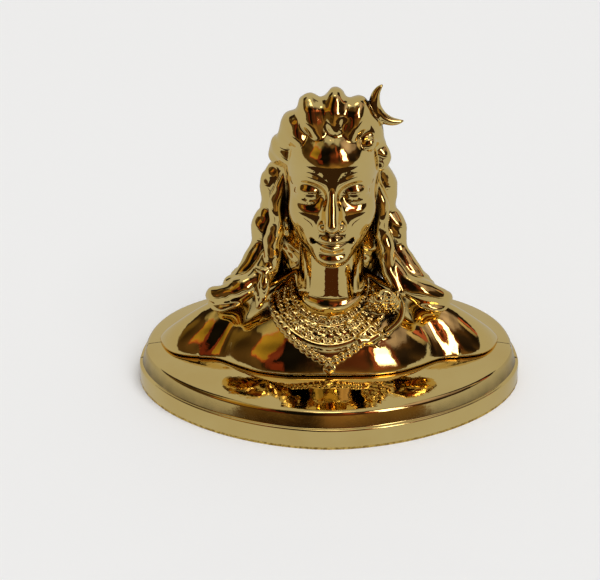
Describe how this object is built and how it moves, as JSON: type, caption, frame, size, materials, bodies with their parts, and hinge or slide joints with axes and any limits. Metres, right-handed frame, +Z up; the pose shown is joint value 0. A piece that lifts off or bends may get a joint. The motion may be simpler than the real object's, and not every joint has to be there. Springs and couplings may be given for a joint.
{
  "type": "shiva statue",
  "caption": "Souvenir bust of Shiva in gold-plated plastic, with long locks, a crescent moon and a serpent necklace, on a stepped oval plinth.",
  "frame": {"origin": "on the ground, at the middle of the plinth's outline", "axes": "+X along the plinth's long axis and its seam, to the right of someone facing the figure; -Y to the front, where the face looks; +Z up"},
  "size_m": [0.1206, 0.0896, 0.0994],
  "materials": {
    "gilt": "mirror-bright gold plating on moulded plastic, with a few dust specks"
  },
  "bodies": {
    "root": {"bust": "gilt", "plinth_front": "gilt", "plinth_back": "gilt"}
  },
  "joints": []
}
